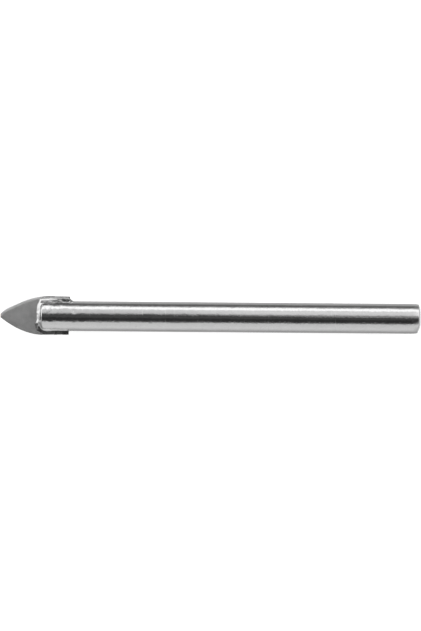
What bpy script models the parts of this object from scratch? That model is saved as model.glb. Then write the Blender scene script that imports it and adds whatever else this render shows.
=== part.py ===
"""A glass and tile drill bit, at its real size in metres.

A round plated steel shank is slotted across its front end. A flat spear-point plate of
tungsten carbide sits in the slot, and a thin U-shaped seam of braze holds it there, with
a small fillet wherever the plate leaves the steel.

The bit lies along X with its point towards -X and the flat faces of the plate up and
down. The shank touches z = 0 along one line, and the origin is below the middle of the
bit's length.
"""

import math

import bmesh
import bpy

MM = 0.001

# Overall
OVERALL = 84.1 * MM  # point to rear end

# Shank
SHANK_D = 6.0 * MM
SHANK_SIDES = 28  # SHANK_D is measured across the flats of this many sides
SHANK_START = 7.9 * MM  # from the point back to the front end of the shank
CROWN = 0.65 * MM  # how far each end of the shank bulges
FRONT_FLAT_R = 0.6 * MM
REAR_FLAT_R = 1.1 * MM  # flat disc in the middle of the rear end
CROWN_STEPS = 9

# Carbide plate
PLATE_LENGTH = 13.7 * MM
PLATE_T = 2.0 * MM
REACH = {1: 4.03 * MM, -1: 3.82 * MM}  # from the axis to each lip, as ground
FLANK_RUN = {1: 10.4 * MM, -1: 9.2 * MM}  # length of each curved cutting flank
BACK_TAPER = 0.07 * MM  # how much each side narrows from the lip to the rear corner
RELIEF = math.radians(14.5)  # slope of the ground edges, on the back of each lip
FLANK_FROM = 0.5 * MM  # where the sampled curve takes over from the straight point
FLANK_STEPS = 28

# Joint between plate and shank
FILM = 0.06 * MM  # thickness of the braze in the slot
GAP = 0.02 * MM  # between the braze and the piece on either side of it
FILLET_W = 0.65 * MM  # how far a fillet spreads over the plate
FILLET_H = 0.34 * MM  # how far it climbs the steel
TOE = 0.012 * MM  # thickness of a fillet's outer edge
REAR_FILLET = 0.75 * MM  # length of the fillet behind each rear corner of the plate

AXIS_Z = SHANK_D / 2
POINT_X = -OVERALL / 2
HALF_T = PLATE_T / 2
JOINT = FILM + 2 * GAP
SLOT_W = PLATE_T + 2 * JOINT
SLOT_END = PLATE_LENGTH + JOINT  # from the point


def clear_scene():
    for obj in list(bpy.data.objects):
        bpy.data.objects.remove(obj, do_unlink=True)
    for mesh in list(bpy.data.meshes):
        bpy.data.meshes.remove(mesh)


def new_collection(name):
    collection = bpy.data.collections.new(name)
    bpy.context.scene.collection.children.link(collection)
    return collection


def add_object(name, mesh, collection, location=(0, 0, 0), rotation=(0, 0, 0)):
    obj = bpy.data.objects.new(name, mesh)
    obj.location = location
    obj.rotation_euler = rotation
    collection.objects.link(obj)
    return obj


def as_cutter(obj):
    obj.hide_render = True
    obj.display_type = "WIRE"
    return obj


def subtract(obj, cutter, name):
    modifier = obj.modifiers.new(name, "BOOLEAN")
    modifier.operation = "DIFFERENCE"
    modifier.solver = "EXACT"
    modifier.object = cutter


def give_material(obj, name, colour, metallic, roughness):
    material = bpy.data.materials.new(name)
    material.use_nodes = True
    shader = material.node_tree.nodes["Principled BSDF"]
    shader.inputs["Base Color"].default_value = (*colour, 1)
    shader.inputs["Metallic"].default_value = metallic
    shader.inputs["Roughness"].default_value = roughness
    material.diffuse_color = (*colour, 1)
    obj.data.materials.append(material)


# The shank: a turned bar with a crowned end at each end, slotted across the front.


def crown_setback(r):
    """How far a point of an end face, at radius r, lies behind the face's highest point."""
    return CROWN * (1 - math.sqrt(max(0.0, 1 - (r / (SHANK_D / 2)) ** 2)))


def end_profile(flat_r):
    """(radius, setback) of one end face, from its axis to the side of the bar."""
    radius = SHANK_D / 2
    start = math.asin(flat_r / radius)
    points = [(0.0, 0.0)]
    for i in range(CROWN_STEPS + 1):
        angle = start + (math.pi / 2 - start) * i / CROWN_STEPS
        r = radius * math.sin(angle)
        points.append((r, crown_setback(r) - crown_setback(flat_r)))
    return points


def turned_bar(name, collection, grow=0.0):
    """The bar before it is slotted, with its outer surface moved out by grow."""
    length = OVERALL - SHANK_START
    profile = [(r, length - back) for r, back in end_profile(REAR_FLAT_R)]
    profile += [(r, back - grow) for r, back in reversed(end_profile(FRONT_FLAT_R))]
    across_flats = 1 / math.cos(math.pi / SHANK_SIDES)
    turn = math.pi / SHANK_SIDES  # puts a flat side, not an edge, at the bottom
    mesh = bpy.data.meshes.new(name)
    bm = bmesh.new()
    verts = []
    for r, z in profile:
        wide = (r + grow * min(1.0, r / (SHANK_D / 2))) * across_flats
        verts.append(bm.verts.new((wide * math.cos(turn), wide * math.sin(turn), z)))
    for a, b in zip(verts, verts[1:]):
        bm.edges.new((a, b))
    bm.to_mesh(mesh)
    bm.free()
    obj = add_object(
        name,
        mesh,
        collection,
        location=(POINT_X + SHANK_START, 0, AXIS_Z),
        rotation=(0, math.pi / 2, 0),
    )
    screw = obj.modifiers.new("turning", "SCREW")
    screw.axis = "Z"
    screw.angle = 2 * math.pi
    screw.steps = SHANK_SIDES
    screw.render_steps = SHANK_SIDES
    screw.use_merge_vertices = True
    screw.merge_threshold = 0.00001
    screw.use_smooth_shade = True
    return obj


def slot_cutter(name, collection, width, end):
    """A block as wide as the slot, from ahead of the shank to the bottom of the slot."""
    front = SHANK_START - 2 * MM
    mesh = bpy.data.meshes.new(name)
    bm = bmesh.new()
    bmesh.ops.create_cube(bm, size=1.0)
    bmesh.ops.scale(bm, vec=(end - front, SHANK_D * 1.5, width), verts=bm.verts)
    bm.to_mesh(mesh)
    bm.free()
    middle = POINT_X + (front + end) / 2
    return as_cutter(add_object(name, mesh, collection, location=(middle, 0, AXIS_Z)))


# The plate: a spear point whose two lips are ground back on opposite faces, so the lip on
# the +Y side cuts with its lower edge and the lip on the -Y side with its upper edge.


def flank_point(s, side, inward):
    """(x, y) on one curved flank, s behind the point where the flanks would cross, moved towards the axis by inward."""
    u = min(1.0, s / FLANK_RUN[side])
    y = REACH[side] * (1 - (1 - u) ** 2)
    slope = 2 * REACH[side] / FLANK_RUN[side] * (1 - u)
    angle = math.atan(slope)
    return s + inward * math.sin(angle), side * (y - inward * math.cos(angle))


def tip_corner(full_side, inset):
    """(x, y) where the full flank of one side meets the set-back flank of the other."""
    full = 2 * REACH[full_side] / FLANK_RUN[full_side]
    back = 2 * REACH[-full_side] / FLANK_RUN[-full_side]
    x = inset * math.sqrt(1 + back * back) / (full + back)
    return x, full_side * full * x


SET_BACK = PLATE_T * math.tan(RELIEF)
TIP_LEAD = min(tip_corner(1, SET_BACK)[0], tip_corner(-1, SET_BACK)[0])


def plate_outline(full_side, grow):
    """The outline of one flat face. Its full_side carries the cutting edge, and the other side is set back."""
    rear = TIP_LEAD + PLATE_LENGTH + grow
    points = [tip_corner(full_side, SET_BACK)]
    for side in (1, -1):
        inward = -grow if side == full_side else SET_BACK - grow
        run = []
        for i in range(1, FLANK_STEPS + 1):
            s = FLANK_FROM + (FLANK_RUN[side] - FLANK_FROM) * (i / FLANK_STEPS) ** 1.25
            run.append(flank_point(s, side, inward))
        run.append((rear, side * (REACH[side] - inward - BACK_TAPER)))
        points += run if side == 1 else run[::-1]
    return [(POINT_X - TIP_LEAD + x, y) for x, y in points]


def plate(name, collection, grow=0.0):
    """A loft between the upper and lower outlines, which differ by the set-back of each side."""
    mesh = bpy.data.meshes.new(name)
    bm = bmesh.new()
    upper = plate_outline(-1, grow)
    lower = plate_outline(1, grow)
    half = HALF_T + grow
    top = [bm.verts.new((x, y, AXIS_Z + half)) for x, y in upper]
    bottom = [bm.verts.new((x, y, AXIS_Z - half)) for x, y in lower]
    bm.faces.new(top[::-1])
    bm.faces.new(bottom)
    for i in range(len(top)):
        j = (i + 1) % len(top)
        bm.faces.new((top[i], top[j], bottom[j], bottom[i]))
    bm.to_mesh(mesh)
    bm.free()
    return add_object(name, mesh, collection)


# The braze: everything within the fillets' outer surface that is neither plate nor steel.

EDGE_Y = math.sqrt((SHANK_D / 2) ** 2 - HALF_T**2)  # where the plate leaves the bar


def steel_front(y):
    """Distance behind the point at which the steel begins, at the level of the plate's face."""
    r = math.hypot(min(abs(y), EDGE_Y), HALF_T)
    return SHANK_START + crown_setback(r)


def from_steel(x, y):
    """Distance in the plane of the plate's face from (x, y) to the steel."""
    return math.hypot(max(0.0, steel_front(y) - x), max(0.0, abs(y) - EDGE_Y))


def fillet_reach(x):
    """How far behind the plate a fillet still spreads sideways, as a share of its full width."""
    past = max(0.0, x - PLATE_LENGTH - GAP) / REAR_FILLET
    return max(0.0, 1 - past) ** 1.4


def fillet_half_width(x):
    """The half width of the fillets' outline at x."""
    if x >= steel_front(EDGE_Y):
        return EDGE_Y + FILLET_W * fillet_reach(x) - 0.3 * MM * (1 - fillet_reach(x))
    low, high = 0.0, EDGE_Y + FILLET_W
    for _ in range(40):
        middle = (low + high) / 2
        if from_steel(x, middle) < FILLET_W:
            low = middle
        else:
            high = middle
    return low


def fillet_height(x, y):
    """Half the thickness of the brazed joint, fillets included, at (x, y)."""
    reach = fillet_reach(x)
    share = min(1.0, from_steel(x, y) / (FILLET_W * max(reach, 0.05)))
    climb = FILLET_H * (1 - share) ** 2
    level = HALF_T + GAP + TOE
    return (level + climb) * (0.45 + 0.55 * reach)


def joint_envelope(name, collection):
    """A loft of cross-sections along the joint, each following the fillets' surface."""
    front = steel_front(0) - FILLET_W
    corner = steel_front(EDGE_Y)
    stations = [
        front + (corner - front) * (1 - math.cos(math.pi / 2 * (i + 0.15) / 12.15))
        for i in range(13)
    ]
    stations += [corner + (PLATE_LENGTH - corner) * i / 6 for i in range(1, 7)]
    stations += [
        PLATE_LENGTH + GAP + REAR_FILLET * i / 6 for i in range(0, 7)
    ]
    across = 22
    mesh = bpy.data.meshes.new(name)
    bm = bmesh.new()
    rings = []
    for x in stations:
        half = fillet_half_width(x)
        ys = [-half * math.cos(math.pi * k / across) for k in range(across + 1)]
        upper = [(y, fillet_height(x, y)) for y in ys]
        lower = [(y, -z) for y, z in reversed(upper)]
        rings.append(
            [bm.verts.new((POINT_X + x, y, AXIS_Z + z)) for y, z in upper + lower]
        )
    for one, two in zip(rings, rings[1:]):
        for i in range(len(one)):
            j = (i + 1) % len(one)
            bm.faces.new((one[j], one[i], two[i], two[j]))
    bm.faces.new(rings[0])
    bm.faces.new(rings[-1][::-1])
    bm.to_mesh(mesh)
    bm.free()
    return add_object(name, mesh, collection)


def main():
    clear_scene()
    bit = new_collection("glass_and_tile_drill_bit")
    cutters = new_collection("cutters")

    shank = turned_bar("shank", bit)
    subtract(shank, slot_cutter("slot", cutters, SLOT_W, SLOT_END), "slot")
    give_material(shank, "plated_steel", (0.66, 0.66, 0.66), 1.0, 0.22)

    tip = plate("carbide_tip", bit)
    tip.data.shade_flat()
    give_material(tip, "tungsten_carbide", (0.24, 0.24, 0.24), 0.75, 0.48)

    steel_space = as_cutter(turned_bar("steel_space", cutters, grow=GAP))
    subtract(
        steel_space,
        slot_cutter("narrow_slot", cutters, SLOT_W - 2 * GAP, SLOT_END - GAP),
        "slot",
    )
    plate_space = as_cutter(plate("plate_space", cutters, grow=GAP))
    braze = joint_envelope("braze", bit)
    subtract(braze, plate_space, "plate")
    subtract(braze, steel_space, "steel")
    give_material(braze, "silver_braze", (0.56, 0.56, 0.55), 1.0, 0.3)


main()
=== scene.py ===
"""The looks of a glass and tile drill bit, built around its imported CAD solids.

Three pieces are made here, each in place of the CAD solid of the same part: the plated
shank, the ground carbide plate, and the braze that ran out of the joint between them.
Inside the script lengths are in millimetres, x is counted from the point of the bit back
along its axis, and y and z are counted from that axis.
"""

import math

import bpy
import numpy as np
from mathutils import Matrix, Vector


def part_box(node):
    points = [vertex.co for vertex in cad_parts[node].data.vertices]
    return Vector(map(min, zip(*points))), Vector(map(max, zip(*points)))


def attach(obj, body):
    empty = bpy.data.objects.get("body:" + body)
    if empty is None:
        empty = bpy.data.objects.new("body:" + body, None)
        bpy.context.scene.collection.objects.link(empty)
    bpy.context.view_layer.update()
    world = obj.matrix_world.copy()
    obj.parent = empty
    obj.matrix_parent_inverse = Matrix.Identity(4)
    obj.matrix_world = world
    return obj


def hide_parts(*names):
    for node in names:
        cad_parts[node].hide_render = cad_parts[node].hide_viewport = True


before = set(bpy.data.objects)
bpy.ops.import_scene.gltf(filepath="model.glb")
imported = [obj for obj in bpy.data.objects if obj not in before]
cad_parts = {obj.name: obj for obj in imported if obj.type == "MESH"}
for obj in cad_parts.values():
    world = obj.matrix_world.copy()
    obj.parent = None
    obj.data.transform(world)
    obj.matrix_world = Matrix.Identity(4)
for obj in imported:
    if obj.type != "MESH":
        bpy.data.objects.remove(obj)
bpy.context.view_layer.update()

MM = 0.001
SHANK_LO, SHANK_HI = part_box("shank")
TIP_LO, TIP_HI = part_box("carbide_tip")
POINT_X = TIP_LO.x / MM
AXIS_Z = (SHANK_LO.z + SHANK_HI.z) / 2 / MM
RADIUS = (SHANK_HI.z - SHANK_LO.z) / 2 / MM
LENGTH = (SHANK_HI.x - TIP_LO.x) / MM

# Shank
SHANK_START = (SHANK_LO.x - TIP_LO.x) / MM
FRONT_FACE = SHANK_START + 0.17
FRONT_ROUND = (0.25, 0.63)  # radius of the front edge above the plate, and how much more beside it
CROWN = 0.52  # how far the rear end bulges
REAR_TAPER = (1.7, 0.09)  # over how much of the length it is worn down before that, and by how much
REAR_FLAT_R = 1.1
AROUND = 168

# Carbide plate
PLATE_LENGTH = (TIP_HI.x - TIP_LO.x) / MM
HALF_T = (TIP_HI.z - TIP_LO.z) / 2 / MM
REACH = {1: TIP_HI.y / MM, -1: -TIP_LO.y / MM}
FLANK_RUN = {1: 10.4, -1: 9.2}
BACK_TAPER = 0.07
RELIEF = math.radians(14.5)
SET_BACK = 2 * HALF_T * math.tan(RELIEF)
FLANK_STEPS = 150
SIDE_STEPS = 46

# Joint
SEAM = 0.1  # between the plate and the walls of the slot
SLOT_END = PLATE_LENGTH + SEAM


def new_mesh_object(name, points, faces):
    """A mesh object from points in this script's own coordinates."""
    points = np.asarray(points, float) + np.array([POINT_X, 0.0, AXIS_Z])
    mesh = bpy.data.meshes.new(name)
    mesh.from_pydata((points * MM).tolist(), [], faces)
    mesh.validate()
    mesh.update()
    obj = bpy.data.objects.new(name, mesh)
    bpy.context.scene.collection.objects.link(obj)
    return obj


def smooth(obj, angle):
    obj.data.shade_smooth()
    obj.data.set_sharp_from_angle(angle=math.radians(angle))


class Ripples:
    """A smooth random field: the sum of plane waves in random directions, about 1 high."""

    def __init__(self, seed, shortest, longest, count=28, stretch=(1, 1, 1)):
        rng = np.random.default_rng(seed)
        direction = rng.normal(size=(count, 3))
        direction /= np.linalg.norm(direction, axis=1)[:, None]
        length = shortest * (longest / shortest) ** rng.random(count)
        self.k = 2 * math.pi * direction / length[:, None] / np.array(stretch)
        self.phase = rng.random(count) * 2 * math.pi
        self.scale = math.sqrt(2 / count)

    def __call__(self, x, y, z):
        total = np.zeros(np.broadcast(x, y, z).shape)
        for (a, b, c), phase in zip(self.k, self.phase):
            total += np.cos(a * x + b * y + c * z + phase)
        return total * self.scale


def step(low, high, value):
    """0 below low, 1 above high, and a smooth rise between them. low may be the greater."""
    t = np.clip((value - low) / (high - low), 0, 1)
    return t * t * (3 - 2 * t)


def bell(value, middle, half):
    return np.exp(-(((value - middle) / half) ** 2))


# The shank


def set_back(r):
    return CROWN * (1 - np.sqrt(np.clip(1 - (r / RADIUS) ** 2, 0, 1)))


REAR_ELLIPSE_X = LENGTH - CROWN + set_back(REAR_FLAT_R)


def front_round(y, z):
    """Radius of the bar's front edge, which is worn rounder beside the slot."""
    return FRONT_ROUND[0] + FRONT_ROUND[1] * y * y / np.maximum(y * y + z * z, 1e-6)


def shank_rings():
    """(x, r, back, in) of each ring of the bar, from the middle of its front to the middle of its
    rear. The last two are multiplied by the radius of the front edge there."""
    rings = [(FRONT_FACE, r, 0, 0) for r in (0.4, 1.1, 1.8)]
    for i in range(15):
        turn = math.pi / 2 * i / 14
        rings.append((FRONT_FACE, RADIUS, 1 - math.cos(turn), 1 - math.sin(turn)))
    x = FRONT_FACE + sum(FRONT_ROUND)
    while x < 17.0:
        x += 0.09
        rings.append((x, RADIUS, 0, 0))
    rear = REAR_ELLIPSE_X - REAR_TAPER[0]
    count = int((rear - x) / 0.38)
    first = x
    for i in range(1, count + 1):
        rings.append((first + (rear - first) * i / count, RADIUS, 0, 0))
    for i in range(1, 13):
        worn = REAR_TAPER[1] * (i / 12) ** 2
        rings.append((rear + REAR_TAPER[0] * i / 12, RADIUS - worn, 0, 0))
    start = math.asin(REAR_FLAT_R / RADIUS)
    for i in range(23, -1, -1):
        r = RADIUS * math.sin(start + (math.pi / 2 - start) * i / 24)
        worn = REAR_TAPER[1] * step(REAR_FLAT_R, RADIUS, r)
        rings.append((LENGTH - set_back(r) + set_back(REAR_FLAT_R), r - worn, 0, 0))
    rings += [(LENGTH, 0.75, 0, 0), (LENGTH, 0.4, 0, 0)]
    return rings


def build_shank():
    """The bar as a skin of rings, its surface slightly uneven, most of all where the braze ran over it."""
    rings = shank_rings()
    angle = 2 * math.pi * np.arange(AROUND) / AROUND
    edge = front_round(np.sin(angle), np.cos(angle))
    ring_x = np.array([x + back * edge for x, _, back, _ in rings])
    ring_r = np.array([r - inward * edge for _, r, _, inward in rings])
    y, z = ring_r * np.sin(angle), ring_r * np.cos(angle)
    # the rear edge is worn more on one side
    x = ring_x - 0.27 * step(REAR_ELLIPSE_X - 1.2, REAR_ELLIPSE_X, ring_x) * step(1.1, 2.8, -y)
    drawn = Ripples(11, 4.0, 14.0, stretch=(1.0, 0.7, 0.7))
    flowed = Ripples(12, 0.75, 2.1)
    bubbled = Ripples(13, 0.45, 0.9)
    near_braze = step(19.0, 10.5, x) * step(0.75, 1.0, ring_r / RADIUS)
    on_side = step(0.97, 1.0, ring_r / RADIUS)
    sink = on_side * 0.004 * (1 + np.clip(drawn(x, y, z), -1, 1))
    sink += near_braze * 0.0065 * (1.6 + np.clip(flowed(x, y, z), -1.6, 1.6))
    sink += on_side * step(13.0, 11.0, x) * 0.002 * (1.6 + np.clip(bubbled(x, y, z), -1.6, 1.6))
    # beside the ground lip the braze wetted the bar's side a little way up
    side = np.where(z >= 0, y, -y)
    wetted = step(10.4, 11.4, x) * step(14.0, 13.6, x)
    sink -= 0.1 * wetted * step(2.3, 2.9, side)
    swollen = 0.05 * bell(x, 9.75, 0.6) + 0.025 * bell(x, 12.1, 0.35)
    sink -= swollen * step(1.8, 2.5, side)
    sink -= 0.019 * step(10.4, 11.2, x) * step(14.4, 13.4, x) * step(1.2, 1.9, side)
    # drops of braze that stayed on the bar behind its front edge, and a dent
    for dx, dy, wide, tall in (
        (9.45, 1.15, 0.46, 0.026),
        (10.8, 1.5, 0.34, 0.011),
        (14.85, 0.85, 0.7, -0.05),
    ):
        dz = math.sqrt(RADIUS**2 - dy**2)
        away = (x - dx) ** 2 + (y - dy) ** 2 + (z - dz) ** 2
        sink -= tall * np.exp(-away / (wide * 0.6) ** 2)
    share = 1 - sink / np.maximum(ring_r, 0.2)
    y, z = y * share, z * share
    points = np.stack([x, y, z], -1).reshape(-1, 3).tolist()
    faces = []
    for i in range(len(rings) - 1):
        a, b = i * AROUND, (i + 1) * AROUND
        for k in range(AROUND):
            n = (k + 1) % AROUND
            faces.append((a + k, b + k, b + n, a + n))
    points.append([FRONT_FACE, 0, 0])
    points.append([LENGTH, 0, 0])
    last = (len(rings) - 1) * AROUND
    for k in range(AROUND):
        n = (k + 1) % AROUND
        faces.append((len(points) - 2, k, n))
        faces.append((len(points) - 1, last + n, last + k))
    shank = new_mesh_object("plated_shank", points, faces)
    return cut(shank, slot_block())


def slot_block():
    half = HALF_T + SEAM
    corners = [
        (x, y, z)
        for x in (SHANK_START - 2, SLOT_END)
        for y in (-RADIUS - 2, RADIUS + 2)
        for z in (-half, half)
    ]
    faces = [
        (0, 1, 3, 2),
        (4, 6, 7, 5),
        (0, 4, 5, 1),
        (2, 3, 7, 6),
        (0, 2, 6, 4),
        (1, 5, 7, 3),
    ]
    return new_mesh_object("slot_block", corners, faces)


def cut(obj, cutter):
    """obj without the space of cutter, which is removed."""
    modifier = obj.modifiers.new("cut", "BOOLEAN")
    modifier.operation = "DIFFERENCE"
    modifier.solver = "EXACT"
    modifier.object = cutter
    bpy.context.view_layer.update()
    graph = bpy.context.evaluated_depsgraph_get()
    made = bpy.data.meshes.new_from_object(obj.evaluated_get(graph))
    old = obj.data
    obj.modifiers.clear()
    obj.data = made
    bpy.data.meshes.remove(old)
    bpy.data.objects.remove(cutter, do_unlink=True)
    return obj


# The carbide plate. The lip on the +Y side cuts with its lower edge and the lip on the -Y
# side with its upper edge, and each is ground back on the other face.


def flank_y(s, side):
    u = np.clip(s / FLANK_RUN[side], 0, 1)
    return REACH[side] * (1 - (1 - u) ** 2)


def flank_angle(s, side):
    u = np.clip(s / FLANK_RUN[side], 0, 1)
    return np.arctan(2 * REACH[side] / FLANK_RUN[side] * (1 - u))


def tip_corner(inward):
    """(x, y) where the two flanks meet, each moved towards the axis by inward[side]."""
    slope = {side: math.tan(flank_angle(0.0, side)) for side in (1, -1)}
    reach = {side: math.hypot(1, slope[side]) * inward[side] for side in (1, -1)}
    x = (reach[1] + reach[-1]) / (slope[1] + slope[-1])
    return x, slope[1] * x - reach[1]


LEAD = min(
    tip_corner({1: SET_BACK, -1: 0.0})[0], tip_corner({1: 0.0, -1: SET_BACK})[0]
)


def fuller(x, y):
    """How much further out the +Y flank is just behind the point, where it was ground by hand."""
    return 0.25 * step(-0.6, 0.9, x) * step(3.3, 0.9, x) * step(-0.4, 0.3, y)


def plate_loop(full_side, inset, z, chips=None):
    """A closed loop round the plate at height z. Its full_side reaches the cutting edge and the other is set back."""
    inward = {s: inset + (0 if s == full_side else SET_BACK) for s in (1, -1)}
    rear = LEAD + PLATE_LENGTH - inset
    tip_x, tip_y = tip_corner(inward)
    loop = [(tip_x, tip_y)]
    for side in (1, -1):
        run = []
        for i in range(1, FLANK_STEPS + 1):
            s = 0.6 + (FLANK_RUN[side] - 0.6) * (i / FLANK_STEPS) ** 1.15
            angle = flank_angle(s, side)
            nick = chips(s, side) if chips and side == full_side else 0.0
            inside = inward[side] + nick
            run.append(
                (
                    s + inside * math.sin(angle),
                    side * (flank_y(s, side) - inside * math.cos(angle)),
                )
            )
        corner = 0.09
        for i in range(1, SIDE_STEPS + 1):
            x = run[FLANK_STEPS - 1][0] + (
                rear - corner - run[FLANK_STEPS - 1][0]
            ) * i / SIDE_STEPS
            share = (x - FLANK_RUN[side]) / (rear - FLANK_RUN[side])
            nick = 0.5 * chips(x, side) if chips and side == full_side else 0.0
            run.append(
                (x, side * (REACH[side] - inward[side] - BACK_TAPER * share - nick))
            )
        edge_y = REACH[side] - inward[side] - BACK_TAPER
        for i in range(1, 6):
            turn = math.pi / 2 * i / 5
            run.append(
                (
                    rear - corner + corner * math.sin(turn),
                    side * (edge_y - corner + corner * math.cos(turn)),
                )
            )
        loop += run if side == 1 else run[::-1]
    return [(x - LEAD, y + fuller(x - LEAD, y), z) for x, y in loop]


def build_tip():
    """Loops from the upper face over the lips to the lower face, with a narrow honed land along each edge."""
    rng = np.random.default_rng(5)
    nicks = [
        (float(at), int(side), float(deep), float(wide))
        for at, side, deep, wide in zip(
            rng.uniform(0.8, 11.5, 46),
            rng.choice([-1, 1], 46),
            rng.uniform(0.006, 0.026, 46),
            rng.uniform(0.03, 0.09, 46),
        )
    ]
    uneven = Ripples(6, 0.25, 0.9, count=14)

    def chips(s, side):
        deep = 0.004 * (1 + float(np.clip(uneven(s, side * 3.0, 0.0), -1, 1)))
        for at, which, depth, wide in nicks:
            if which == side and abs(s - at) < 3 * wide:
                deep += depth * math.exp(-(((s - at) / wide) ** 2))
        return deep

    land, drop = 0.085, 0.016
    loops = [
        plate_loop(-1, land, HALF_T),
        plate_loop(-1, 0.022, HALF_T - drop * 0.55, chips),
        plate_loop(-1, 0.0, HALF_T - drop * 1.6, chips),
        plate_loop(1, 0.0, -HALF_T + drop * 1.6, chips),
        plate_loop(1, 0.022, -HALF_T + drop * 0.55, chips),
        plate_loop(1, land, -HALF_T),
    ]
    size = len(loops[0])
    points = [p for loop in loops for p in loop]
    faces = [tuple(range(size))[::-1]]
    for i in range(len(loops) - 1):
        a, b = i * size, (i + 1) * size
        for k in range(size):
            n = (k + 1) % size
            faces.append((a + k, a + n, b + n, b + k))
    faces.append(tuple(range((len(loops) - 1) * size, len(loops) * size)))
    tip = new_mesh_object("ground_tip", points, faces)
    smooth(tip, 9)
    return tip


# The braze, as the space within a rounded union of bar and plate that neither fills.


def bar_distance(x, y, z):
    """Signed distance to the bar before it was slotted, near its front end."""
    edge = front_round(y, z)
    ahead = FRONT_FACE + edge - x
    around = np.sqrt(y * y + z * z) - (RADIUS - edge)
    corner = np.sqrt(np.maximum(ahead, 0) ** 2 + np.maximum(around, 0) ** 2)
    return corner + np.minimum(np.maximum(ahead, around), 0) - edge


def plate_reach(x, z, side):
    """How far the plate reaches to one side at x, at height z."""
    s = x + LEAD
    back = SET_BACK * (HALF_T + side * z) / (2 * HALF_T)
    angle = flank_angle(s, side)
    taper = BACK_TAPER * step(FLANK_RUN[side], PLATE_LENGTH + LEAD, s)
    return flank_y(s, side) - back / np.cos(angle) - taper


def plate_distance(x, y, z, longer=0.0):
    """Signed distance to the plate, good near its faces, sides and rear edge."""
    over = np.abs(z) - HALF_T
    beside = np.maximum(y - plate_reach(x, z, 1), -y - plate_reach(x, z, -1))
    behind = x - PLATE_LENGTH - longer
    outside = np.sqrt(
        np.maximum(over, 0) ** 2
        + np.maximum(beside, 0) ** 2
        + np.maximum(behind, 0) ** 2
    )
    return outside + np.minimum(np.maximum(np.maximum(over, beside), behind), 0)


FILLET_SWELL = Ripples(21, 1.3, 3.6)
FILLET_LUMPS = Ripples(22, 0.55, 1.4)
FILM_WAVES = Ripples(23, 0.9, 2.4)


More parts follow.
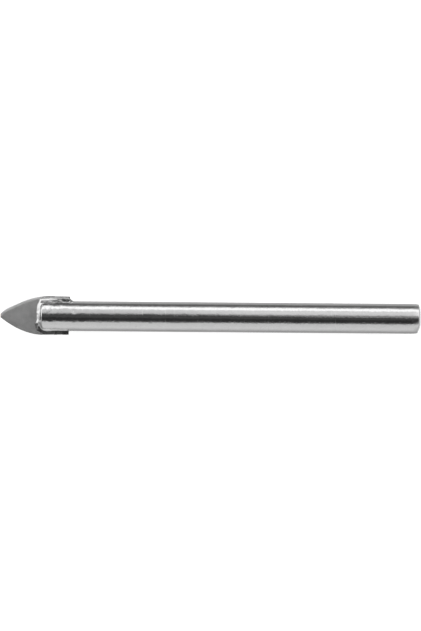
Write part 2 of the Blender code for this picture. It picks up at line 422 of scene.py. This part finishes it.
def braze_field(x, y, z):
    """Negative inside the braze. The joint looks the same after half a turn about the axis, but for
    its ripples and what covers the rear end of the plate. Seen from above, a hollow fillet lies along
    the front of the bar, a rounded bead along the lip that is ground back, and a thin film along the
    lip that cuts."""
    side = np.where(z >= 0, y, -y)
    z_up = np.abs(z)
    bar = bar_distance(x, y, z)
    swell, lumps, waves = FILLET_SWELL(x, y, z), FILLET_LUMPS(x, y, z), FILM_WAVES(x, y, z)

    # which of the three it is
    bead = step(7.65, 8.15, x) * step(2.2, 2.8, side)
    film = step(-0.95, -2.2, side)
    front = (1 - bead - film) * step(9.0, 8.3, x)
    plain = 1 - front - film

    # how far the fillet reaches from the bar, and how far it climbs. Towards the ground lip it is
    # wider and flatter, and behind the bar's front edge there is hardly any.
    high = step(0.2, 1.1, side)
    narrow = step(1.5, 3.0, side)
    away = 1.07 + high * (0.38 - 0.27 * narrow) + 0.12 * bell(side, 0.8, 0.5) + 0.04 * swell
    climb = 1.7 - 0.8 * high
    hollow = 0.1 + (0.2 + 0.24 * bell(x, 9.6, 0.9)) * step(13.7, 13.2, x)
    hollow = hollow * (0.15 + 0.85 * step(13.75, 13.5, x))
    # behind the plate, on one side, a gusset of braze
    gusset = step(13.7, 13.95, x) * step(2.4, 2.9, y)
    away = front * away + plain * (0.06 + 0.5 * gusset) + film * hollow
    climb = front * climb + plain * (0.06 + 1.1 * gusset) + film * hollow

    # the layer of braze on the plate, besides the fillet
    edge = np.where(z >= 0, plate_reach(x, HALF_T, 1) - y, plate_reach(x, -HALF_T, -1) + y)
    blunt = step(11.2, 12.2, x)
    tall = 0.28 - 0.05 * step(9.8, 10.8, x) - 0.005 * blunt + 0.012 * waves + 0.018 * lumps * blunt
    slant = 0.2 - 0.03 * step(9.2, 10.0, x) - 0.02 * step(10.4, 11.4, x)
    tall = tall + slant * np.clip(edge - 0.2, 0, 0.8)
    rise = (0.74 + 1.9 * blunt) * (edge + 0.12 - 0.045 * blunt)
    soft = 0.05 + 0.04 * blunt
    both = np.minimum(tall, rise)
    crest = both - np.maximum(soft - np.abs(tall - rise), 0) ** 2 / (4 * soft)
    layer = bead * crest
    far_edge = np.where(z >= 0, plate_reach(x, HALF_T, -1) + y, plate_reach(x, -HALF_T, 1) - y)
    wide = 1.16 - 0.36 * step(-2.7, -3.4, side) + 0.05 * waves
    wide = wide + 0.7 * step(8.1, 8.9, x) - 0.6 * step(10.0, 11.2, x)
    inward = np.clip(wide - bar, 0, 2)
    wedge = 0.22 * np.clip(inward, 0, 0.3) + 0.29 * np.clip(inward - 0.3, 0, 0.75)
    curved = np.clip(inward, 0, 0.78)
    curved = 0.31 * curved - 0.2 * curved * curved
    low = step(-1.9, -2.5, side)
    thin = (1 - low) * wedge + low * (curved + 0.006 * waves * step(0, 0.3, inward))
    thin = np.minimum(thin, 0.11 + 0.25 * step(9.2, 8.4, x))
    layer = layer + step(-0.75, -1.5, side) * step(-0.02, 0.16, far_edge) * thin

    # on one side the braze also covers the plate's rear end
    ear = step(12.6, 13.4, x) * step(2.5, 2.9, y)
    plate = plate_distance(x, y, z, 0.2 * ear)
    sunk = (0.04 + 0.055 * high) * front + 0.03 * bead + 0.014 * film
    to_bar = bar + 0.05
    to_plate = plate + sunk - layer - 0.012 * ear
    a = np.maximum(1 - to_bar / away, 0)
    b = np.maximum(1 - to_plate / climb, 0)
    least = np.minimum(away, climb)
    both = np.minimum(to_bar / away, to_plate / climb)
    skin = least * (np.maximum(1, both) - np.sqrt(a * a + b * b))
    skin = skin + 0.004 * lumps
    # over the middle of the front it stopped short of the bar's edge, in a flat ledge
    ledge = front * step(1.0, 0.6, side) * step(-1.8, -1.3, side)
    over = z_up - HALF_T - 0.46 - 0.03 * lumps - 2.5 * (1 - ledge)
    soft = 0.05
    skin = np.maximum(skin, over) + np.maximum(soft - np.abs(skin - over), 0) ** 2 / (4 * soft)

    # the gusset falls away steeply from the bar
    over = (z_up - HALF_T - 0.1 + 1.7 * bar) / 2 - 2.5 * (1 - gusset)
    skin = np.maximum(skin, over) + np.maximum(soft - np.abs(skin - over), 0) ** 2 / (4 * soft)

    slot = np.maximum(x - SLOT_END, z_up - HALF_T - SEAM)
    steel = np.maximum(bar, -slot)
    end = x - 13.72 - 3 * step(-2.0, -1.2, y)
    carbide = plate_distance(x, y, z)
    body = [skin, -(steel + 0.12), -(carbide + 0.11), bar - 1.3, plate - 2.2]
    return np.maximum(np.maximum.reduce(body), end)


def surface_net(field, low, high, cell):
    """Points and quads of the surface where field is zero, one point in each cell that it passes through."""
    count = np.ceil((np.array(high) - np.array(low)) / cell).astype(int) + 1
    axes = [low[i] + cell * np.arange(count[i]) for i in range(3)]
    values = np.empty(count)
    for i, x in enumerate(axes[0]):
        values[i] = field(x, axes[1][:, None], axes[2][None, :])
    inside = values < 0
    cells = count - 1
    total = np.zeros((*cells, 3))
    hits = np.zeros(cells)
    for axis in range(3):
        others = [i for i in range(3) if i != axis]
        a = [slice(None)] * 3
        b = [slice(None)] * 3
        a[axis], b[axis] = slice(None, -1), slice(1, None)
        va, vb = values[tuple(a)], values[tuple(b)]
        crosses = inside[tuple(a)] != inside[tuple(b)]
        share = np.where(crosses, va / np.where(crosses, va - vb, 1), 0)
        for p in (0, 1):
            for q in (0, 1):
                part = [slice(None)] * 3
                part[others[0]] = slice(p, p + cells[others[0]])
                part[others[1]] = slice(q, q + cells[others[1]])
                hit = crosses[tuple(part)]
                hits += hit
                total[..., axis] += np.where(hit, share[tuple(part)], 0)
                total[..., others[0]] += hit * p
                total[..., others[1]] += hit * q
    active = hits > 0
    index = -np.ones(cells, int)
    index[active] = np.arange(active.sum())
    where = np.argwhere(active)
    points = np.array(low) + cell * (
        where + total[active] / hits[active][:, None]
    )
    quads = []
    for axis in range(3):
        u, v = [(1, 2), (2, 0), (0, 1)][axis]
        a = [slice(None)] * 3
        b = [slice(None)] * 3
        a[axis], b[axis] = slice(None, -1), slice(1, None)
        crosses = inside[tuple(a)] != inside[tuple(b)]
        at = np.argwhere(crosses)
        keep = np.all(
            [(at[:, i] > 0) & (at[:, i] < cells[i]) for i in (u, v)], axis=0
        )
        at = at[keep]
        flip = ~inside[tuple(at.T)]
        corners = []
        for du, dv in ((0, 0), (-1, 0), (-1, -1), (0, -1)):
            c = at.copy()
            c[:, u] += du
            c[:, v] += dv
            corners.append(index[tuple(c.T)])
        q = np.stack(corners, 1)
        q[~flip] = q[~flip][:, ::-1]
        quads.append(q[:, ::-1])
    return points, np.concatenate(quads)


def settle_on(field, points, cell, rounds=4):
    """Moves the points of a net onto the surface itself."""
    eps = cell * 0.05
    for _ in range(rounds):
        x, y, z = points.T
        f = field(x, y, z)
        slope = np.stack(
            [
                field(x + eps, y, z) - field(x - eps, y, z),
                field(x, y + eps, z) - field(x, y - eps, z),
                field(x, y, z + eps) - field(x, y, z - eps),
            ],
            1,
        ) / (2 * eps)
        size = np.maximum((slope**2).sum(1), 0.25)
        move = slope * (f / size)[:, None]
        length = np.linalg.norm(move, axis=1)
        move *= np.minimum(1, 0.4 * cell / np.maximum(length, 1e-9))[:, None]
        points = points - move
    return points


def build_braze():
    cell = 0.07
    low = (SHANK_START - 1.5, -4.3, -2.6)
    high = (PLATE_LENGTH + 1.6, 4.3, 2.6)
    points, quads = surface_net(braze_field, low, high, cell)
    points = settle_on(braze_field, points, cell)
    braze = new_mesh_object("braze_seam", points, quads.tolist())
    smooth(braze, 40)
    return braze


# Materials


class Nodes:
    """A short way to build a material's or the world's nodes."""

    def __init__(self, tree):
        self.tree = tree

    def new(self, kind, **settings):
        node = self.tree.nodes.new(kind)
        inputs = settings.pop("inputs", {})
        for name, value in settings.items():
            setattr(node, name, value)
        for name, value in inputs.items():
            self.set(node.inputs[name], value)
        return node

    def set(self, socket, value):
        if isinstance(value, bpy.types.NodeSocket):
            self.tree.links.new(value, socket)
        else:
            socket.default_value = value

    def math(self, operation, a, b=None, clamp=False):
        node = self.new("ShaderNodeMath", operation=operation, use_clamp=clamp)
        self.set(node.inputs[0], a)
        if b is not None:
            self.set(node.inputs[1], b)
        return node.outputs[0]

    def ramp(self, factor, stops, interpolation="LINEAR"):
        """stops are (position, grey) pairs."""
        node = self.new("ShaderNodeValToRGB")
        node.color_ramp.interpolation = interpolation
        elements = node.color_ramp.elements
        while len(elements) < len(stops):
            elements.new(0.5)
        for element, (position, grey) in zip(elements, stops):
            element.position = position
            element.color = (grey, grey, grey, 1)
        self.set(node.inputs[0], factor)
        return node.outputs[0]

    def remap(self, value, low, high, to_low, to_high, smoothly=False):
        node = self.new("ShaderNodeMapRange")
        node.interpolation_type = "SMOOTHSTEP" if smoothly else "LINEAR"
        node.clamp = True
        for i, v in enumerate((value, low, high, to_low, to_high)):
            self.set(node.inputs[i], v)
        return node.outputs[0]

    def place(self, scale, offset=(0, 0, 0)):
        """The piece's own coordinates, in cells per metre."""
        coordinate = self.new("ShaderNodeTexCoord").outputs["Object"]
        mapping = self.new("ShaderNodeMapping")
        mapping.inputs["Scale"].default_value = scale
        mapping.inputs["Location"].default_value = offset
        self.set(mapping.inputs["Vector"], coordinate)
        return mapping.outputs[0]

    def noise(self, vector, detail=2.0, roughness=0.5, distortion=0.0):
        node = self.new("ShaderNodeTexNoise")
        node.inputs["Scale"].default_value = 1.0
        node.inputs["Detail"].default_value = detail
        node.inputs["Roughness"].default_value = roughness
        node.inputs["Distortion"].default_value = distortion
        self.set(node.inputs["Vector"], vector)
        return node.outputs["Fac"]

    def bump(self, height, distance, below=None):
        """distance is how high the relief stands, in metres."""
        node = self.new("ShaderNodeBump")
        node.inputs["Strength"].default_value = 1.0
        node.inputs["Distance"].default_value = distance
        self.set(node.inputs["Height"], height)
        if below is not None:
            self.set(node.inputs["Normal"], below)
        return node.outputs[0]


def new_material(name):
    material = bpy.data.materials.new(name)
    material.use_nodes = True
    shader = material.node_tree.nodes["Principled BSDF"]
    return material, Nodes(material.node_tree), shader


def plated_steel():
    """Bright nickel plating over a drawn and rough-polished bar: an uneven skin, fine rings, pits, and
    stains from the heat near the joint."""
    material, n, shader = new_material("plated_steel_bright")
    skin = n.noise(n.place((2300, 2600, 2600)), detail=2.5, roughness=0.55)
    wander = n.noise(n.place((700, 900, 900), (3, 1, 7)), detail=1.5)
    rings = n.noise(n.place((5200, 160, 160), (1, 5, 2)), detail=2.0, roughness=0.6)
    where = n.noise(n.place((110, 60, 60), (9, 2, 4)), detail=1.0)
    ringed = n.remap(where, 0.5, 0.66, 0.12, 1.0, smoothly=True)
    drawn = n.noise(n.place((140, 4200, 4200), (2, 8, 3)), detail=2.0)
    spots = n.new("ShaderNodeTexVoronoi", feature="F1")
    n.set(spots.inputs["Vector"], n.place((1500, 1500, 1500), (4, 4, 1)))
    spots.inputs["Scale"].default_value = 1.0
    chosen = n.math("GREATER_THAN", spots.outputs["Color"], 0.9)
    pit = n.math(
        "MULTIPLY", n.remap(spots.outputs["Distance"], 0.0, 0.24, 1.0, 0.0, True), chosen
    )
    tone = n.math("ADD", n.math("MULTIPLY", skin, 0.5), n.math("MULTIPLY", wander, 0.5))
    colour = n.ramp(tone, [(0.3, 0.64), (0.5, 0.67), (0.72, 0.69)])
    dull = n.new("ShaderNodeMix", data_type="RGBA", blend_type="MIX")
    along = n.new("ShaderNodeSeparateXYZ")
    n.set(along.inputs[0], n.new("ShaderNodeTexCoord").outputs["Object"])
    heated = n.remap(
        along.outputs[0], (POINT_X + 10.5) * MM, (POINT_X + 14.0) * MM, 0.35, 0.0, True
    )
    heated = n.math("MULTIPLY", heated, n.remap(along.outputs[1], 0.0, 0.001, 0.0, 1.0, True))
    stain = n.noise(n.place((1900, 2300, 2300), (7, 2, 6)), detail=2.0)
    stain = n.math("MULTIPLY", n.remap(stain, 0.5, 0.66, 0.0, 1.0, True), heated)
    n.set(dull.inputs[0], n.math("MAXIMUM", n.math("MULTIPLY", pit, 0.35), stain))
    n.set(dull.inputs[6], colour)
    dull.inputs[7].default_value = (0.3, 0.3, 0.3, 1)
    n.set(shader.inputs["Base Color"], dull.outputs[2])
    shader.inputs["Metallic"].default_value = 1.0
    worn = n.math("ADD", n.math("MULTIPLY", wander, 0.6), n.math("MULTIPLY", rings, 0.4))
    n.set(shader.inputs["Roughness"], n.remap(worn, 0.3, 0.7, 0.07, 0.15))
    speck = n.noise(n.place((2900, 3300, 3300), (6, 3, 2)), detail=1.0)
    speck = n.remap(speck, 0.56, 0.74, 0.0, 1.0, smoothly=True)
    scratch = n.noise(n.place((3400, 90, 90), (2, 9, 5)), detail=1.0)
    scratch = n.remap(scratch, 0.66, 0.8, 0.0, 1.0, smoothly=True)
    unscratched = n.remap(
        along.outputs[0], (POINT_X + 76.0) * MM, (POINT_X + 80.0) * MM, 1.0, 0.0, True
    )
    scratch = n.math("MULTIPLY", scratch, unscratched)
    normal = n.bump(skin, 0.00001)
    normal = n.bump(wander, 0.000024, normal)
    normal = n.bump(speck, 0.000005, normal)
    normal = n.bump(n.math("MULTIPLY", rings, ringed), 0.000007, normal)
    normal = n.bump(scratch, 0.000009, normal)
    normal = n.bump(drawn, 0.000002, normal)
    normal = n.bump(n.math("MULTIPLY", pit, -1.0), 0.000007, normal)
    n.set(shader.inputs["Normal"], normal)
    return material


def carbide():
    """Sintered and ground carbide: a fine even grain and faint grinding lines."""
    material, n, shader = new_material("tungsten_carbide_ground")
    grain = n.noise(n.place((5200, 5200, 5200)), detail=3.0, roughness=0.62)
    cloud = n.noise(n.place((900, 900, 900), (2, 6, 1)), detail=2.0)
    lines = n.noise(n.place((900, 7800, 2600), (5, 3, 8)), detail=2.0, roughness=0.6)
    tone = n.math("ADD", n.math("MULTIPLY", grain, 0.5), n.math("MULTIPLY", cloud, 0.5))
    face = n.ramp(tone, [(0.3, 0.38), (0.5, 0.465), (0.7, 0.54)])
    coordinates = n.new("ShaderNodeTexCoord").outputs
    split = n.new("ShaderNodeSeparateXYZ")
    n.set(split.inputs[0], coordinates["Normal"])
    # the relief is freshest, and palest, towards its cutting edge
    height = n.new("ShaderNodeSeparateXYZ")
    n.set(height.inputs[0], coordinates["Object"])
    above = n.math("SUBTRACT", height.outputs[2], AXIS_Z * MM)
    outward = n.math("MULTIPLY", above, n.math("SIGN", split.outputs[2]))
    fresh = n.remap(outward, 0.95 * HALF_T * MM, -HALF_T * MM, 0.0, 0.32)
    ground = n.ramp(n.math("ADD", tone, fresh), [(0.3, 0.4), (0.5, 0.48), (0.8, 0.8), (1.0, 0.9)])
    flat = n.remap(n.math("ABSOLUTE", split.outputs[2]), 0.75, 0.97, 1.0, 0.0, True)
    colour = n.new("ShaderNodeMix", data_type="RGBA")
    n.set(colour.inputs[0], flat)
    n.set(colour.inputs[6], face)
    n.set(colour.inputs[7], ground)
    n.set(shader.inputs["Base Color"], colour.outputs[2])
    shader.inputs["Metallic"].default_value = 0.85
    n.set(shader.inputs["Roughness"], n.remap(grain, 0.3, 0.7, 0.4, 0.56))
    normal = n.bump(grain, 0.000012)
    normal = n.bump(lines, 0.000006, normal)
    n.set(shader.inputs["Normal"], normal)
    return material


def silver_braze():
    """Bright braze, smooth where it ran and duller where it froze first."""
    material, n, shader = new_material("silver_braze_run")
    flow = n.noise(n.place((1300, 1300, 1300)), detail=2.0, distortion=0.6)
    grain = n.noise(n.place((5200, 5200, 5200), (1, 2, 3)), detail=2.0)
    colour = n.ramp(flow, [(0.3, 0.6), (0.5, 0.66), (0.7, 0.7)])
    n.set(shader.inputs["Base Color"], colour)
    shader.inputs["Metallic"].default_value = 1.0
    n.set(shader.inputs["Roughness"], n.remap(flow, 0.35, 0.7, 0.1, 0.24))
    normal = n.bump(flow, 0.000010)
    normal = n.bump(grain, 0.000003, normal)
    n.set(shader.inputs["Normal"], normal)
    return material


# The studio


def studio_light():
    """Light from all round, by direction: a strip light and a panel on the far side, a dark gap overhead
    where the camera hangs, a panel on the near side, and a pale table. What the camera sees past the
    floor is as pale as the floor."""
    world = bpy.data.worlds.new("studio")
    bpy.context.scene.world = world
    world.use_nodes = True
    world.node_tree.nodes.clear()
    n = Nodes(world.node_tree)
    direction = n.new("ShaderNodeTexCoord").outputs["Generated"]
    split = n.new("ShaderNodeSeparateXYZ")
    n.set(split.inputs[0], direction)
    dx, dy, dz = split.outputs

    def degrees(stops):
        return [((a + 180) / 360, v / 2) for a, v in stops]

    # round the bar: 0 is overhead, negative is the far side (+Y), positive the near side (-Y)
    around = n.math("ARCTAN2", n.math("MULTIPLY", dy, -1.0), dz)
    around = n.math("ADD", n.math("DIVIDE", around, 2 * math.pi), 0.5)
    across = n.ramp(
        around,
        degrees(
            [
                (-180, 0.4),
                (-150, 0.44),
                (-138, 0.62),
                (-128, 0.5),
                (-120, 0.37),
                (-112, 0.2),
                (-95, 0.122),
                (-81.5, 0.65),
                (-76.5, 1.5),
                (-61, 1.5),
                (-53, 0.84),
                (-28, 0.7),
                (-15, 0.105),
                (-9, 0.076),
                (6, 0.076),
                (16, 0.031),
                (33, 0.04),
                (41.5, 0.2),
                (48.5, 0.73),
                (90, 0.84),
                (104, 0.76),
                (128, 0.42),
                (155, 0.46),
            ]
        ),
    )
    # towards either end of the bar: 0 is overhead and 180 straight down
    polar = n.math("DIVIDE", n.math("ARCCOSINE", dz), math.pi)

    def down(stops):
        return [(a / 180, v / 2) for a, v in stops]

    def from_far(near, far, low, high):
        """near on the near side and far on the far side."""
        mix = n.new("ShaderNodeMix", data_type="RGBA")
        n.set(mix.inputs[0], n.remap(dy, low, high, 0.0, 1.0, smoothly=True))
        n.set(mix.inputs[6], n.ramp(polar, down(near)))
        n.set(mix.inputs[7], n.ramp(polar, down(far)))
        return mix.outputs[2]

    at_point = from_far(
        [(0, 0.1), (10, 0.12), (20, 0.25), (40, 0.45), (100, 0.55), (112, 0.2), (180, 0.25)],
        [(0, 0.1), (22, 0.12), (36, 1.3), (100, 1.5), (111, 0.15), (180, 0.2)],
        -0.12,
        0.04,
    )
    at_rear = from_far(
        [(0, 0.05), (22, 0.06), (34, 0.3), (48, 0.75), (70, 0.85), (86, 0.45), (108, 0.36)]
        + [(124, 0.5), (142, 0.98), (180, 1.0)],
        [(0, 0.1), (18, 0.2), (32, 1.2), (72, 1.5), (86, 0.7), (108, 0.42)]
        + [(124, 0.55), (142, 1.15), (180, 1.1)],
        -0.05,
        0.25,
    )
    ends = n.new("ShaderNodeMix", data_type="RGBA")
    n.set(ends.inputs[0], n.remap(dx, -0.1, 0.1, 0.0, 1.0))
    n.set(ends.inputs[6], at_point)
    n.set(ends.inputs[7], at_rear)
    whole = n.new("ShaderNodeMix", data_type="RGBA")
    to_point = n.remap(dx, -0.22, -0.7, 0.0, 1.0, smoothly=True)
    to_rear = n.remap(dx, 0.05, 0.32, 0.0, 1.0, smoothly=True)
    n.set(whole.inputs[0], n.math("MAXIMUM", to_point, to_rear))
    n.set(whole.inputs[6], across)
    n.set(whole.inputs[7], ends.outputs[2])
    studio = n.new("ShaderNodeBackground")
    n.set(studio.inputs["Color"], whole.outputs[2])
    studio.inputs["Strength"].default_value = 2.0
    plain = n.new("ShaderNodeBackground")
    plain.inputs["Color"].default_value = (0.9, 0.9, 0.9, 1)
    plain.inputs["Strength"].default_value = 1.0
    mix = n.new("ShaderNodeMixShader")
    n.set(mix.inputs[0], n.new("ShaderNodeLightPath").outputs["Is Camera Ray"])
    n.set(mix.inputs[1], studio.outputs[0])
    n.set(mix.inputs[2], plain.outputs[0])
    output = n.new("ShaderNodeOutputWorld")
    n.set(output.inputs["Surface"], mix.outputs[0])


def rear_panels():
    """Two overlapping soft panels overhead, on the far side, which the rear half of the bar mirrors."""
    for name, left, near, radiance in (("panel_a", 0, 28, 0.14), ("panel_b", 22, 16, 0.26)):
        right, far = 75, 165
        data = bpy.data.lights.new(name, "AREA")
        data.shape = "RECTANGLE"
        data.size = (right - left) * MM
        data.size_y = (far - near) * MM
        data.energy = radiance * math.pi * data.size * data.size_y
        panel = bpy.data.objects.new(name, data)
        bpy.context.scene.collection.objects.link(panel)
        panel.location = ((left + right) / 2 * MM, (near + far) / 2 * MM, 0.15)
        panel.visible_camera = False


def build_floor():
    """A pale light table under the bit."""
    half = 4.0
    mesh = bpy.data.meshes.new("floor")
    mesh.from_pydata(
        [(-half, -half, 0), (half, -half, 0), (half, half, 0), (-half, half, 0)],
        [],
        [(0, 1, 2, 3)],
    )
    floor = bpy.data.objects.new("floor", mesh)
    bpy.context.scene.collection.objects.link(floor)
    floor.location.z = -0.00002
    material, n, shader = new_material("pale_table")
    shader.inputs["Base Color"].default_value = (0.86, 0.86, 0.86, 1)
    shader.inputs["Roughness"].default_value = 0.9
    shader.inputs["Specular IOR Level"].default_value = 0.1
    shader.inputs["Emission Color"].default_value = (1, 1, 1, 1)
    slant = n.new("ShaderNodeLayerWeight").outputs["Facing"]
    n.set(shader.inputs["Emission Strength"], n.remap(slant, 0.1, 0.6, 0.72, 0.3, True))
    mesh.materials.append(material)
    floor.visible_glossy = False
    return floor


def build_camera():
    """Straight down through a long lens from far off, so that the level of the bar's axis has 0.2 mm to
    each of the picture's 421 x 631 pixels."""
    pixel = 0.2 * MM
    away = 1.9
    data = bpy.data.cameras.new("camera")
    data.type = "PERSP"
    data.sensor_width = 36
    data.lens = data.sensor_width * away / (631 * pixel)
    data.clip_start, data.clip_end = 0.01, 10
    camera = bpy.data.objects.new("camera", data)
    bpy.context.scene.collection.objects.link(camera)
    camera.location = (-0.15 * pixel, 1.74 * pixel, AXIS_Z * MM + away)
    camera.rotation_euler = (0, 0, math.radians(0.465))
    bpy.context.scene.camera = camera


def main():
    pieces = (
        (build_shank(), "shank", "plated_steel", plated_steel()),
        (build_tip(), "carbide_tip", "tungsten_carbide", carbide()),
        (build_braze(), "braze", "silver_braze", silver_braze()),
    )
    smooth(pieces[0][0], 30)
    for obj, node, slot, material in pieces:
        obj.data.materials.clear()
        obj.data.materials.append(material)
        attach(obj, "root")
        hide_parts(node)
        print(obj.name, sum(len(p.vertices) - 2 for p in obj.data.polygons), "triangles")
    studio_light()
    rear_panels()
    build_floor()
    build_camera()
    bpy.context.scene.view_settings.view_transform = "Standard"


main()
